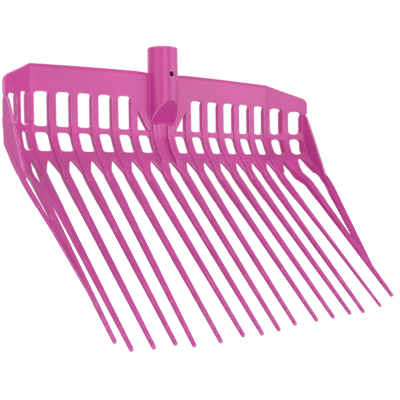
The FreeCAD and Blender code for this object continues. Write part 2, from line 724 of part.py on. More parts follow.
def part_tines():
    for number, (sway, share) in enumerate(zip(SWAY_SHARES, LENGTH_SHARES), 1):
        x = f"({number} - 0.5 - back_tines / 2) * pitch"
        keep(f"tine_{number:02d}", build_tine(f"tine_{number:02d}", x, f"({sway} * pitch)",
                                              f"{share} * tine_length"))


right_wing = build_wing()
part_panel(right_wing)
part_wing(right_wing)
part_tines()
doc.recompute()

for thing in doc.Objects:
    if "Invalid" in thing.State or "Error" in thing.State:
        raise RuntimeError(f"{thing.Name} failed: {thing.State}")
os.makedirs("parts", exist_ok=True)
for label, thing in nodes.items():
    shape = thing.Shape
    if shape.isNull() or not shape.isValid() or len(shape.Solids) != 1:
        raise RuntimeError(f"{label}: {len(shape.Solids)} solids, valid {shape.isValid()}")
    shape.exportStep(f"parts/{label}.step")
    box = shape.BoundBox
    print(f"{label}: {shape.Volume:.0f} mm3, {box.XMin:.1f} to {box.XMax:.1f}, "
          f"{box.YMin:.1f} to {box.YMax:.1f}, {box.ZMin:.1f} to {box.ZMax:.1f}")
print(len(nodes), "pieces")
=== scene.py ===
import math
import time

import bpy
import numpy as np
from mathutils import Matrix, Vector


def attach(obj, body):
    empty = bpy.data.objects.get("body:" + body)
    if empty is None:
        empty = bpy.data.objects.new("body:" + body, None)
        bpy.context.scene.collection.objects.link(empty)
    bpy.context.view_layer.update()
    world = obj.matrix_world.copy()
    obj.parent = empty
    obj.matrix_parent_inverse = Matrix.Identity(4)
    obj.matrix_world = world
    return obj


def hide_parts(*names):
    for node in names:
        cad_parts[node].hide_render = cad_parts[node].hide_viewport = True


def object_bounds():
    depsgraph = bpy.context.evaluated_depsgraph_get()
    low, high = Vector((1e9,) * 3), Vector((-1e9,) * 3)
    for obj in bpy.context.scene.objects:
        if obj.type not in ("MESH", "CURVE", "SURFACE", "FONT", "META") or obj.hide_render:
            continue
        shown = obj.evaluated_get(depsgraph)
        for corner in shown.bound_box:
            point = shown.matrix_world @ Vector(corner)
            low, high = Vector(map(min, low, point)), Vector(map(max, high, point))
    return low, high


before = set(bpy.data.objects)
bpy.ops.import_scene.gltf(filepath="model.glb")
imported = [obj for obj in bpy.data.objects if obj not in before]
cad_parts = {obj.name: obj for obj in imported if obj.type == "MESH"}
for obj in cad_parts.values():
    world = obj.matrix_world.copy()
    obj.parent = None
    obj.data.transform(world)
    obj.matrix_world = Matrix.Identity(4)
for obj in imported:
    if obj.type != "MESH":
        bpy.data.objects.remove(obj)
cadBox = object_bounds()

started = time.time()
print("frame:", len(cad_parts), "pieces of one moulding")

# Lengths are in millimetres until a mesh is made. The socket's axis is z, its mouth is at the
# origin, and the load lies on the -y side.
mm = 0.001

sheet = {                       # the bent sheet that back, wings and tines are cut from
    "front": 1.4, "bendTop": -85.0, "bendRadius": 87.5, "bendTurn": math.radians(44.0),
    "fold": 162.5, "wingTurn": math.radians(35.0), "wingWidth": 52.1, "pitch": 25.0,
    "ribWidth": 7.5, "ribDepth": 6.5, "plate": 3.2, "edge": 0.3,
}
levels = {                      # heights of what crosses the ribs
    "top": -28.0, "bandFoot": -55.3, "midTop": -90.7, "midFoot": -96.8,
    "lowTop": -115.8, "lowFoot": -124.5, "rootFoot": -139.5, "corner": 4.9,
    "bevelHeight": 3.6, "bevelDepth": 1.4, "railRecess": 1.6, "rampHeight": 6.0,
    "bandSag": 0.8, "sagEnd": 130.0, "sagRun": 70.0,        # the band is deeper near the socket
    "gapRound": 0.8, "gapHollow": 1.15,
}
axisY = sheet["front"] - sheet["bendRadius"]
bendCos, bendSin = math.cos(sheet["bendTurn"]), math.sin(sheet["bendTurn"])
bendLength = sheet["bendRadius"] * sheet["bendTurn"]
halfGap = (sheet["pitch"] - sheet["ribWidth"]) / 2
panelEdge = sheet["fold"] + sheet["ribWidth"] / 2
leanCos, leanTan = math.cos(sheet["wingTurn"]), math.tan(sheet["wingTurn"])
drawDepth = sheet["ribDepth"] / leanCos         # of the wing's ribs, along the mould's draw


def onSheet(x, rise, down):
    # Place over the sheet: rise is towards the load, down runs from the start of the bend. The
    # bend turns about one level axis, so a place keeps its distance from it all the way round.
    turn = np.clip(down / sheet["bendRadius"], 0, sheet["bendTurn"])
    radius = sheet["bendRadius"] - rise
    beyond = np.maximum(down - bendLength, 0)
    y = axisY + radius * np.cos(turn) - beyond * bendSin
    z = sheet["bendTop"] - radius * np.sin(turn) - beyond * bendCos - np.minimum(down, 0)
    return np.stack(np.broadcast_arrays(x, y, z), -1)


def drawnY(x, z, back):
    # Where a line along the mould's draw meets the surface that lies back behind the sheet's
    # front: upright, then round the bend's circle, then straight on beside the tines. A wing's
    # front comes forward evenly from the fold.
    out = np.maximum(x - sheet["fold"], 0)
    radius = sheet["bendRadius"] - out * leanTan + np.where(out > 0, back / leanCos, back)
    drop = np.maximum(sheet["bendTop"] - z, 0)
    turned = np.minimum(drop, radius * bendSin)
    return (axisY + np.sqrt(radius ** 2 - turned ** 2)
            - (drop - turned) * math.tan(sheet["bendTurn"]))


def ease(share):                # from 0 to 1, level at both ends
    share = np.clip(share, 0, 1)
    return share * share * (3 - 2 * share)


shapes = []                     # closed shells that are run together into one skin


def shell(rings, both=True):
    # Quads between neighbouring rings of one closed tube, and a flat face on each end, turned
    # so that they face outwards.
    count, around = rings.shape[:2]
    index = np.arange(count * around).reshape(count, around)
    step = np.roll(index, -1, 1)
    quads = np.stack([index[:-1], step[:-1], step[1:], index[1:]], -1).reshape(-1, 4)
    faces = quads.tolist() + [index[0, ::-1].tolist(), index[-1].tolist()]
    points = rings.reshape(-1, 3)
    corner = points[quads]
    flow = np.cross(corner[:, 2] - corner[:, 0], corner[:, 3] - corner[:, 1])
    if (flow * (corner.mean(1) - points.mean(0))).sum() < 0:
        faces = [face[::-1] for face in faces]
    shapes.append((points, faces))
    if both:
        shapes.append((points * (-1, 1, 1), [face[::-1] for face in faces]))


def bar(down, middle, rise, width, depth, edge, lean=0.0):
    # Eight-cornered section carried down the sheet. A leaning one is sheared, so that its sides
    # stay along the draw.
    down, middle, rise, width, depth, edge, lean = (
        np.broadcast_to(v, down.shape)[:, None]
        for v in (down, middle, rise, width, depth, edge, lean))
    half = width / 2
    across = np.concatenate([edge - half, -half, -half, edge - half,
                             half - edge, half, half, half - edge], 1)
    back = np.concatenate([0 * edge, edge, depth - edge, depth,
                           depth, depth - edge, edge, 0 * edge], 1)
    return onSheet(middle + across, rise + across * lean - back, down)


def plate(x, top, foot, front, rear, rows=30):
    # Front face from top to foot and rear face back up, at each x, along the mould's draw.
    share = np.linspace(0, 1, rows)
    z = top[:, None] + (foot - top)[:, None] * share
    across = np.broadcast_to(x[:, None], z.shape)
    faces = [np.stack([across, drawnY(across, z, front(across, z)), z], -1),
             np.stack([across, drawnY(across, z, rear(across, z)), z], -1)[:, ::-1]]
    return np.concatenate(faces, 1)


def stations(openings, first, last, radius):
    # Where a level bar needs sections: closely spaced round the corners of each opening.
    bend = radius * (1 - np.cos(np.linspace(0, math.pi / 2, 8)))
    marks = [first, last]
    for left, right in openings:
        marks += list(left + bend) + list(right - bend) + list(np.linspace(left, right, 7))
    marks = np.unique(np.round(marks, 4))
    return marks[(marks >= first) & (marks <= last)]


def cornerRun(x, openings, radius):
    # How far an opening's level edge draws back at x: a quarter circle at each side of it, and
    # the whole radius behind the ribs.
    run = np.full(x.shape, float(radius))
    for left, right in openings:
        inside = (x >= left) & (x <= right)
        reach = np.clip(radius - np.minimum(x - left, right - x), 0, radius)
        run = np.where(inside, radius - np.sqrt(radius ** 2 - reach ** 2), run)
    return run


def steady(amount):             # the same depth behind the sheet's front all over
    return lambda x, z: np.full(np.broadcast(x, z).shape, float(amount))


def gapFoot(x, left, right, roundness=0.0):
    # Foot of the web in the gap between two tines: highest in the middle, with a round top of
    # the given radius, and down to the tines' roots in slightly hollow lines.
    half = (right - left) / 2
    away = np.clip(np.abs(x - (left + right) / 2), 0, half)
    run = np.clip((away - roundness) / (half - roundness), 0, 1)
    line = levels["lowFoot"] + (levels["rootFoot"] - levels["lowFoot"]) * run ** levels["gapHollow"]
    return line + np.sqrt(np.maximum(roundness ** 2 - away ** 2, 0))


# Back: thin band, rails that lie back from the ribs, and the spine below the socket
columns = [(sheet["pitch"] * n - halfGap, sheet["pitch"] * n + halfGap) for n in range(7)]
spine = {"inner": 5.5, "outer": 14.5, "web": 1.4, "proud": 2.9, "top": -83.0, "foot": -129.0,
         "ramp": 4.0, "edge": 0.7, "headRamp": 2.5, "headProud": 0.4, "back": 3.0,
         "webTop": -57.5}
gusset = {"inner": 19.6, "outer": 33.4, "rise": 22.0, "top": -52.0, "overlap": 2.0}


def bandFront(x, z):            # with a slope along its top edge
    return np.interp(z, [levels["top"] - levels["bevelHeight"], levels["top"]],
                     [0.0, levels["bevelDepth"]]) + 0 * x


def rampBack(x, z):             # the ribs' depth, run out into the band above
    foot = levels["bandFoot"]
    return np.interp(z, [foot - levels["rampHeight"], foot],
                     [sheet["ribDepth"], sheet["plate"]]) + 0 * x


def spineFront(x, z):           # the web lies back between the spine's ribs
    return np.where((np.abs(x) < spine["inner"]) & (z < spine["top"]), spine["web"], 0.0)


def proudFront(x, z):
    # A rib that stands forward: a ramp at its head and foot, and both sides cut off at 45
    # degrees.
    rise = np.interp(z, [spine["foot"], spine["foot"] + spine["ramp"],
                         spine["top"] - spine["headRamp"], spine["top"]],
                     [0, spine["proud"], spine["proud"], spine["headProud"]])
    side = np.minimum(x - spine["inner"], spine["outer"] - x)
    return np.clip(spine["edge"] - side, 0, None) - rise


def makeBack():
    # Each part is a plate: stations across, with a top, a foot, a front and a rear at each.
    corner, dome = levels["corner"], levels["gapRound"]
    last = sheet["fold"] + 0.4          # just past the fold, inside the wing's plate
    x = stations(columns[2:], spine["outer"], last, corner)
    foot = levels["bandFoot"] - np.where(x < columns[1][1], 0, cornerRun(x, columns[2:], corner))
    foot = foot - levels["bandSag"] * ease((levels["sagEnd"] - x) / levels["sagRun"])
    shell(plate(x, 0 * x + levels["top"], foot, bandFront, steady(sheet["plate"])))
    # Gusset beside the socket, cut off on the slant above the rail.
    x = np.array([spine["outer"], gusset["inner"], gusset["outer"],
                  gusset["outer"] + gusset["overlap"]])
    foot = np.interp(x, [gusset["inner"], gusset["outer"]],
                     [levels["midTop"], levels["midTop"] + gusset["rise"]])
    shell(plate(x, 0 * x + gusset["top"], foot, steady(0), rampBack))
    # Middle rail and lower rail.
    x = stations(columns[1:], spine["outer"], last, corner)
    top = levels["midTop"] + np.where(x > columns[1][1], cornerRun(x, columns[2:], corner), 0)
    foot = levels["midFoot"] - cornerRun(x, columns[1:], corner)
    shell(plate(x, top, foot, steady(levels["railRecess"]), steady(sheet["ribDepth"])))
    top = levels["lowTop"] + cornerRun(x, columns[1:], corner)
    foot = np.full(x.shape, levels["rootFoot"])
    for left, right in columns[1:]:
        foot = np.where((x >= left) & (x <= right), gapFoot(x, left, right, dome), foot)
    shell(plate(x, top, foot, steady(levels["railRecess"]), steady(sheet["ribDepth"])))
    # Spine: a web between two ribs that stand proud of the bend. The sections lie close at the
    # gap's round head and at the web's side.
    x = np.array([0, dome / 2, dome, 3.0, spine["inner"] - 0.05, spine["inner"] + 0.05, 7.0,
                  halfGap, spine["outer"], columns[1][0]])
    foot = np.where(x < halfGap, gapFoot(x, -halfGap, halfGap, dome), levels["rootFoot"])
    shell(plate(x, 0 * x + spine["webTop"], foot, spineFront, rampBack, rows=60))
    x = np.array([spine["inner"], spine["inner"] + spine["edge"], spine["outer"] - spine["edge"],
                  spine["outer"]])
    shell(plate(x, 0 * x + spine["top"], 0 * x + spine["foot"], proudFront,
                steady(spine["back"]), rows=60))


# Wing: turned forward at the fold, with its own windows, an edge strip and a flat fin
wing = {
    "tine": 23.7, "edge": 49.6, "sideWidth": 5.1, "slope": math.radians(19.3),
    "cornerRadius": 10.5, "cornerFrom": 42.0, "innerTop": -56.8, "outerTop": -61.0,
    "corner": 4.6, "gapRadius": 4.0, "gapRise": 1.5, "plateFoot": -65.0,
    # Wedge in the fold: its face falls back by wedgeDepth over fadeRun, from fadeTop down.
    "wedgeTop": -50.0, "wedgeFoot": -132.5, "wedgeDepth": 2.6, "wedgeBack": 3.5,
    "fadeTop": -120.0, "fadeRun": 14.0,
    "notchTop": -62.5, "notchFoot": -65.5,
    "finThick": 2.8, "finStep": 3.0, "finRamp": 3.0, "finRun": 24.0, "finBack": 3.0,
    "finLeast": 1.5,
    # The wing's tine moves out by shift and forward by rise, and turns upright, over root.
    "shift": 1.1, "rise": 4.4, "lean": math.radians(12.0), "root": 24.1, "tineShare": 0.99,
    "tineHead": -58.0, "tineCentre": 9.63,
    # The strip beside the wing's tine: share of the tine's length, share of the way out from
    # the tine to the wing's edge, and its width's share; then its depth along the length.
    "strip": [(0.0, 0.925, 1.0), (0.075, 0.955, 1.0), (0.125, 0.965, 1.1), (0.175, 0.945, 1.2),
              (0.235, 0.873, 1.5), (0.46, 0.588, 1.55), (0.77, 0.18, 0.7), (0.82, 0.1, 0.4)],
    "stripDepth": [(0.0, 1.0), (0.15, 0.86), (0.4, 0.45), (0.77, 0.28), (0.82, 0.25)],
    "stripEnd": 0.81, "stripEase": 0.035, "stripHead": 6.0, "rearShare": 0.88,
    "rearCorner": 0.75,
}
tines = {
    "length": 197.8, "tipWidth": 3.4, "tipDepth": 3.5, "edge": 0.5, "tipEdge": 0.36,
    "fuller": 0.7,              # how much wider a tine is at its root than its rib
    "head": -51.0, "headRun": 4.0, "headDepth": 2.2, "rampDepth": 9.0,
    "nose": 1.8, "noseKnee": 0.6, "noseShares": [1, 0.85, 0.6],
    # How far each tip has strayed, as a share of the pitch, and each tine's share of the length.
    "sway": [0.03, -0.08, -0.15, -0.42, -0.20, -0.05, -0.12,
             -0.19, -0.19, 0.07, 0.09, 0.19, 0.05, 0.58],
    "share": [0.98, 0.99, 0.99, 1.015, 1.02, 1.01, 1.02,
              1.015, 1.00, 1.00, 1.00, 0.995, 1.00, 0.99],
}
middleTine = (len(tines["sway"]) - 1) / 2


def alongWing(w):               # x of a place that lies w out from the fold, on the wing's face
    return sheet["fold"] + w * leanCos


wingOpenings = [
    (panelEdge, alongWing(wing["tine"] - sheet["ribWidth"] / 2)),
    (alongWing(wing["tine"] + sheet["ribWidth"] / 2), alongWing(wing["edge"] - wing["sideWidth"]))]
wingEnd, edgeEnd = alongWing(sheet["wingWidth"]), alongWing(wing["edge"])
edgeWidth = wing["sideWidth"] * leanCos


def makeWing():
    fold, width, corner = sheet["fold"], sheet["wingWidth"], wing["corner"]
    x = stations(wingOpenings, fold, wingEnd, corner)
    x = np.unique(np.concatenate([
        x, [edgeEnd], alongWing(np.linspace(wing["cornerFrom"], width, 18))]))
    w = (x - fold) / leanCos
    # Top edge: a slope down to a round corner.
    slope, radius = wing["slope"], wing["cornerRadius"]
    run = radius * math.tan((math.pi / 2 - slope) / 2)
    centre = levels["top"] - width * math.tan(slope) - run
    arc = centre + np.sqrt(np.maximum(radius ** 2 - (w - width + radius) ** 2, 0))
    top = np.where(w > width - run * math.cos(slope), arc, levels["top"] - w * math.tan(slope))
    (left, right), (outerLeft, outerRight) = wingOpenings
    start = np.where(x < right + 2, wing["innerTop"], wing["outerTop"])
    foot = start - cornerRun(x, wingOpenings, corner)
    foot = np.where(x > edgeEnd, np.interp(x, [edgeEnd, wingEnd],
                                           [wing["notchFoot"], wing["notchTop"]]), foot)
    shell(plate(x, top, foot, steady(0), steady(sheet["plate"])))
    ribs = steady(sheet["ribDepth"])
    x = stations(wingOpenings, fold, edgeEnd, corner)
    run = cornerRun(x, wingOpenings, corner)
    shell(plate(x, levels["midTop"] + run, levels["midFoot"] - run, steady(0), ribs))
    foot = np.full(x.shape, levels["rootFoot"])
    inner = gapFoot(np.maximum(x, left), left, right, levels["gapRound"])
    foot = np.where(x <= right, wing["gapRise"] + inner, foot)
    foot = np.where((x >= outerLeft) & (x <= outerRight),
                    gapFoot(x, outerLeft, outerRight, wing["gapRadius"]), foot)
    shell(plate(x, levels["lowTop"] + run, foot, steady(0), ribs))
    # Wedge that fills the fold in front of its rib and fades at the tine's root.
    x = np.array([fold, panelEdge])
    shell(plate(x, 0 * x + wing["wedgeTop"], 0 * x + wing["wedgeFoot"],
                lambda x, z: wing["wedgeDepth"] * ease((wing["fadeTop"] - z) / wing["fadeRun"]),
                steady(wing["wedgeBack"]), rows=60))


def stripAt(down):
    # Outer edge of the side strip and its width, each eased over the joints of the table.
    share = (down - bendLength) / tines["length"]
    table = np.array(wing["strip"])
    offsets = np.linspace(-wing["stripEase"], wing["stripEase"], 9)
    out, wide = (np.mean([np.interp(share + o, table[:, 0], table[:, n]) for o in offsets], 0)
                 for n in (1, 2))
    outer = alongWing(wing["tine"] + (sheet["wingWidth"] - wing["tine"]) * out)
    return edgeEnd + (outer - edgeEnd) * ease(down / bendLength), wide * edgeWidth


def makeEdge():
    # Strip: a leaning bar whose outer edge, width and depth follow the wing's tables.
    first, head = sheet["bendTop"] - wing["notchTop"], wing["stripHead"]
    down = np.concatenate([first + np.linspace(0, head, 4),
                           np.linspace(first + head + 2, 0, 6)[:-1],
                           np.linspace(0, bendLength, 30)[:-1],
                           bendLength + np.linspace(0, wing["stripEnd"], 60) * tines["length"]])
    outer, wide = stripAt(down)
    depth = np.interp((down - bendLength) / tines["length"], *np.array(wing["stripDepth"]).T)
    depth = drawDepth * depth * np.interp(down, [first, first + head], [0.5, 1])
    # Behind, the strip turns at one corner instead of a bend.
    angle = np.clip(down / sheet["bendRadius"], 0, sheet["bendTurn"])
    behind = sheet["bendRadius"] - (outer - sheet["fold"]) * leanTan + depth
    corner = 1 / np.cos(np.minimum(angle, sheet["bendTurn"] - angle)) - 1
    depth = depth * wing["rearShare"] + wing["rearCorner"] * behind * corner
    middle = outer - wide / 2
    shell(bar(down, middle, (middle - sheet["fold"]) * leanTan, wide, depth, sheet["edge"],
              leanTan))
    # Fin: its outer face is flush with the strip's, and its free edge is straight.
    rise = wing["edge"] * math.sin(sheet["wingTurn"])
    foot = onSheet(0, rise, bendLength + wing["finRun"])
    start, knee = wing["notchFoot"], wing["notchFoot"] - wing["finRamp"]
    z = np.concatenate([[start], np.linspace(knee, foot[2], 70)])
    front, inner, edge = sheet["front"] - rise, edgeEnd - wing["finThick"], sheet["edge"]
    front = np.interp(z, [foot[2], knee, start], [foot[1], front - wing["finStep"], front + edge])
    rear = np.maximum(drawnY(0 * z + edgeEnd, z, wing["finBack"]), front + wing["finLeast"])
    ring = [(inner, front + edge), (inner + edge, front), (edgeEnd - edge, front),
            (edgeEnd, front + edge), (edgeEnd, rear), (inner, rear)]
    shell(np.stack([np.stack([0 * z + across, y, z], -1) for across, y in ring], 1))


def tineStations(length, head):
    # From a height inside the band, round the bend and out to the blunt nose.
    return np.concatenate([np.linspace(sheet["bendTop"] - head, 0, 12)[:-1],
                           np.linspace(0, bendLength, 30)[:-1],
                           bendLength + np.linspace(0, length - tines["nose"], 60),
                           [bendLength + length - tines["noseKnee"], bendLength + length]])


def taper(down, length, first=0.0):
    # Share of the way from root to tip, and the nose's narrowing beyond it.
    beyond, start = down - bendLength, length - tines["nose"]
    share = np.clip((beyond - first) / (start - first), 0, 1)
    return share, np.interp(beyond, [start, length - tines["noseKnee"], length],
                            tines["noseShares"])


def tineWidth(width, along, nose):
    # Evenly narrower towards the tip, and a little fuller at the root.
    width = width + (tines["tipWidth"] - sheet["ribWidth"]) * along
    return (width + tines["fuller"] * (1 - along) ** 2) * nose


def tineEdge(down, length):     # width of the cut-off corners, from band to bend to tip
    return np.interp(down - bendLength, [-bendLength, 0, length],
                     [sheet["edge"], tines["edge"], tines["tipEdge"]])


def ribRamp(down, level, depth):
    # Ribs run out into the plate behind, from level down.
    start = sheet["bendTop"] - level
    return np.minimum(depth, np.interp(
        down, [start - tines["headRun"], start, start + levels["rampHeight"]],
        [tines["headDepth"], sheet["plate"], tines["rampDepth"]]))


def makeTines():
    # Each tine is a bar: its width and depth fall evenly from root to tip, and its middle line
    # strays sideways evenly too.
    for number, (sway, share) in enumerate(zip(tines["sway"], tines["share"])):
        length = share * tines["length"]
        down = tineStations(length, tines["head"])
        along, nose = taper(down, length)
        full = sheet["ribDepth"] + (tines["tipDepth"] - sheet["ribDepth"]) * along
        depth = ribRamp(down, levels["bandFoot"], full * nose)
        rise = -(sheet["ribDepth"] - full * nose) / 2
        middle = (number - middleTine) * sheet["pitch"] + sway * sheet["pitch"] * along
        shell(bar(down, middle, rise, tineWidth(sheet["ribWidth"], along, nose), depth,
                  tineEdge(down, length)), both=False)
    # The wing's tine leaves its rib at the wing's slant and then stands forward.
    length = wing["tineShare"] * tines["length"]
    down = tineStations(length, wing["tineHead"])
    along, nose = taper(down, length, wing["root"])
    free = ease((down - bendLength) / wing["root"])
    full = drawDepth + (sheet["ribDepth"] - drawDepth) * free
    full = (full + (tines["tipDepth"] - sheet["ribDepth"]) * along) * nose
    width = sheet["ribWidth"] * (leanCos + (1 - leanCos) * free)
    centre = wing["tine"] * math.sin(sheet["wingTurn"]) - drawDepth / 2 + wing["rise"] * free
    shell(bar(down, alongWing(wing["tine"]) + wing["shift"] * free, centre + full / 2,
              tineWidth(width, along, nose), ribRamp(down, wing["innerTop"], full),
              tineEdge(down, length), leanTan + (math.tan(wing["lean"]) - leanTan) * free))


socket = {"radius": 16.7, "bore": 14.2, "boreDepth": 56.0, "apex": -58.5, "foot": -83.0,
          "rim": 0.9, "middle": 0.5, "mouth": -3.0, "screwRadius": 3.1, "screwDrop": -30.0,
          "drill": (-20.0, -5.0)}


def makeSocket():
    # Turned about z: up the bore, over the rim and down the outside, whose lower end is pared
    # off by a slope in front and another behind.
    s = socket
    turn = np.linspace(0, math.pi / 2, 6)
    profile = [(s["middle"], -s["boreDepth"]), (s["bore"], -s["boreDepth"]),
               (s["bore"], s["mouth"])]
    profile += [(s["bore"] + s["rim"] * (1 - math.sin(t)), -s["rim"] * (1 - math.cos(t)))
                for t in turn[::-1]]
    profile += [(s["radius"] - s["rim"] * (1 - math.sin(t)), -s["rim"] * (1 - math.cos(t)))
                for t in turn]
    outside = len(profile)
    profile += [(s["radius"], z) for z in np.linspace(s["mouth"], s["foot"], 90)]
    profile += [(s["middle"], s["foot"])]
    radius, z = np.array(profile).T[:, :, None]
    angle = np.linspace(0, 2 * math.pi, 97)[:-1]
    x, y = radius * np.sin(angle), -radius * np.cos(angle)
    below = np.clip((s["apex"] - z) / (s["apex"] - s["foot"]), 0, 1)
    rear = sheet["front"] + sheet["ribDepth"]
    pared = np.clip(y, -s["radius"] + below * (s["radius"] + sheet["front"]),
                    s["radius"] - below * (s["radius"] - rear))
    y = np.where((z < s["apex"]) & (np.arange(len(z))[:, None] >= outside), pared, y)
    shell(np.stack(np.broadcast_arrays(x, y, z), -1), both=False)


def meshFrom(name, points, faces):
    mesh = bpy.data.meshes.new(name)
    mesh.from_pydata((np.asarray(points) * mm).tolist(), [], faces)
    mesh.update()
    return mesh


def joined(parts):
    offset, points, faces = 0, [], []
    for some, polygons in parts:
        points.append(some)
        faces += [[i + offset for i in polygon] for polygon in polygons]
        offset += len(some)
    return np.concatenate(points), faces


def evaluated(thing):
    bpy.context.view_layer.update()
    return bpy.data.meshes.new_from_object(
        thing.evaluated_get(bpy.context.evaluated_depsgraph_get()))


def pointsOf(mesh):
    co = np.empty(len(mesh.vertices) * 3)
    mesh.vertices.foreach_get("co", co)
    return co.reshape(-1, 3) / mm


def place(name, mesh):
    thing = bpy.data.objects.new(name, mesh)
    bpy.context.scene.collection.objects.link(thing)
    return thing


def drillScrewHole():
    # The socket's shell is the last one made; a short rod is taken out of its front wall.
    body = place("socketBlank", meshFrom("socketBlank", *shapes.pop()))
    angle = np.linspace(0, 2 * math.pi, 41)[:-1]
    ring = np.stack([socket["screwRadius"] * np.cos(angle), 0 * angle,
                     socket["screwDrop"] + socket["screwRadius"] * np.sin(angle)], -1)
    shell(np.stack([ring + (0, y, 0) for y in socket["drill"]]), both=False)
    drill = place("drill", meshFrom("drill", *shapes.pop()))
    cut = body.modifiers.new("screwHole", "BOOLEAN")
    cut.operation, cut.object, cut.solver = "DIFFERENCE", drill, "EXACT"
    mesh = evaluated(body)
    shapes.append((pointsOf(mesh), [list(p.vertices) for p in mesh.polygons]))
    print("socket:", len(body.data.vertices), "points, drilled:", len(mesh.vertices))
    for thing in (body, drill):
        bpy.data.objects.remove(thing)
    bpy.data.meshes.remove(mesh)


# Skin: every shell becomes one surface, then easing rounds its edges as a mould does
skin = {"voxel": 0.6, "easing": 2, "strength": 0.5, "holding": 3, "return": -0.53,
        # The moulding's warp: the tines stand a little further forward than the sheet's plain
        # bend has them, and the top edge is faintly arched above level.
        "forward": 6.8, "start": -92.0, "run": 48.0, "fade": 20.0,
        "arch": 2.4, "level": 0.35, "archFade": 40.0, "socketFade": 20.0}


def runTogether():
    blank = place("mouldingBlank", meshFrom("mouldingBlank", *joined(shapes)))
    flow = blank.modifiers.new("flow", "REMESH")
    flow.mode, flow.voxel_size, flow.adaptivity = "VOXEL", skin["voxel"] * mm, 0.0
    mesh = evaluated(blank)
    bpy.data.objects.remove(blank)
    points = pointsOf(mesh)
    quads = np.empty(len(mesh.polygons) * 4, int)
    mesh.polygons.foreach_get("vertices", quads)
    quads = quads.reshape(-1, 4)
    bpy.data.meshes.remove(mesh)
    pairs = np.concatenate([quads[:, [0, 1]], quads[:, [1, 2]], quads[:, [2, 3]],
                            quads[:, [3, 0]]])
    count = np.maximum(np.bincount(pairs[:, 0], minlength=len(points)), 1)[:, None]

    def pull(values):           # from each point to the middle of its neighbours
        return np.stack([np.bincount(pairs[:, 0], values[pairs[:, 1], n], len(values))
                         for n in range(values.shape[1])], 1) / count - values

    steps = [skin["strength"]] * skin["easing"]
    steps += [skin["strength"], skin["return"]] * skin["holding"]
    for step in steps:
        points = points + step * pull(points)
    return points, quads, pull


def warped(points):
    # Forward, eased over run from start down, and sunk by a parabola across the top edge.
    x, y, z = points.T
    far = np.abs(x)
    forward = skin["forward"] * ease((skin["start"] - z) / skin["run"])
    forward = forward * (1 - ease((far - sheet["fold"]) / skin["fade"]))
    sink = skin["arch"] * (np.minimum(far / sheet["fold"], 1.1) ** 2 - skin["level"])
    sink = sink * ease((z - levels["midTop"]) / skin["archFade"])
    sink = sink * ease((far - socket["radius"]) / skin["socketFade"])
    return np.stack([x, y - forward, z - sink], 1)


def normalsOf(points, quads):
    # Each point's normal is the sum of its faces' normals, which carry their areas with them.
    corner = points[quads]
    face = np.cross(corner[:, 2] - corner[:, 0], corner[:, 3] - corner[:, 1])
    total = np.stack([np.bincount(quads.ravel(), np.repeat(face[:, n], 4), len(points))
                      for n in range(3)], 1)
    return total / np.maximum(np.linalg.norm(total, axis=1, keepdims=True), 1e-12)


def overSheet(x, y, z):
    # Distance past the bend's end, and rise over the sheet, of places anywhere on the skin.
    back, drop = y - axisY, sheet["bendTop"] - z
    beyond = drop * bendCos - back * bendSin
    radius = np.where(drop < 0, back, np.hypot(back, drop))
    radius = np.where(beyond > 0, back * bendCos + drop * bendSin, radius)
    return beyond, sheet["bendRadius"] - radius


seams = {                       # how far the pieces' borders lie from what they follow
    "rail": 3.0, "proud": 0.2, "reach": 0.7, "foot": 0.3, "bore": 1.0, "boreFoot": 2.0,
    "rear": 5.0, "strip": 1.5, "fin": 0.3, "finSide": 0.7, "finFoot": 2.0,
}


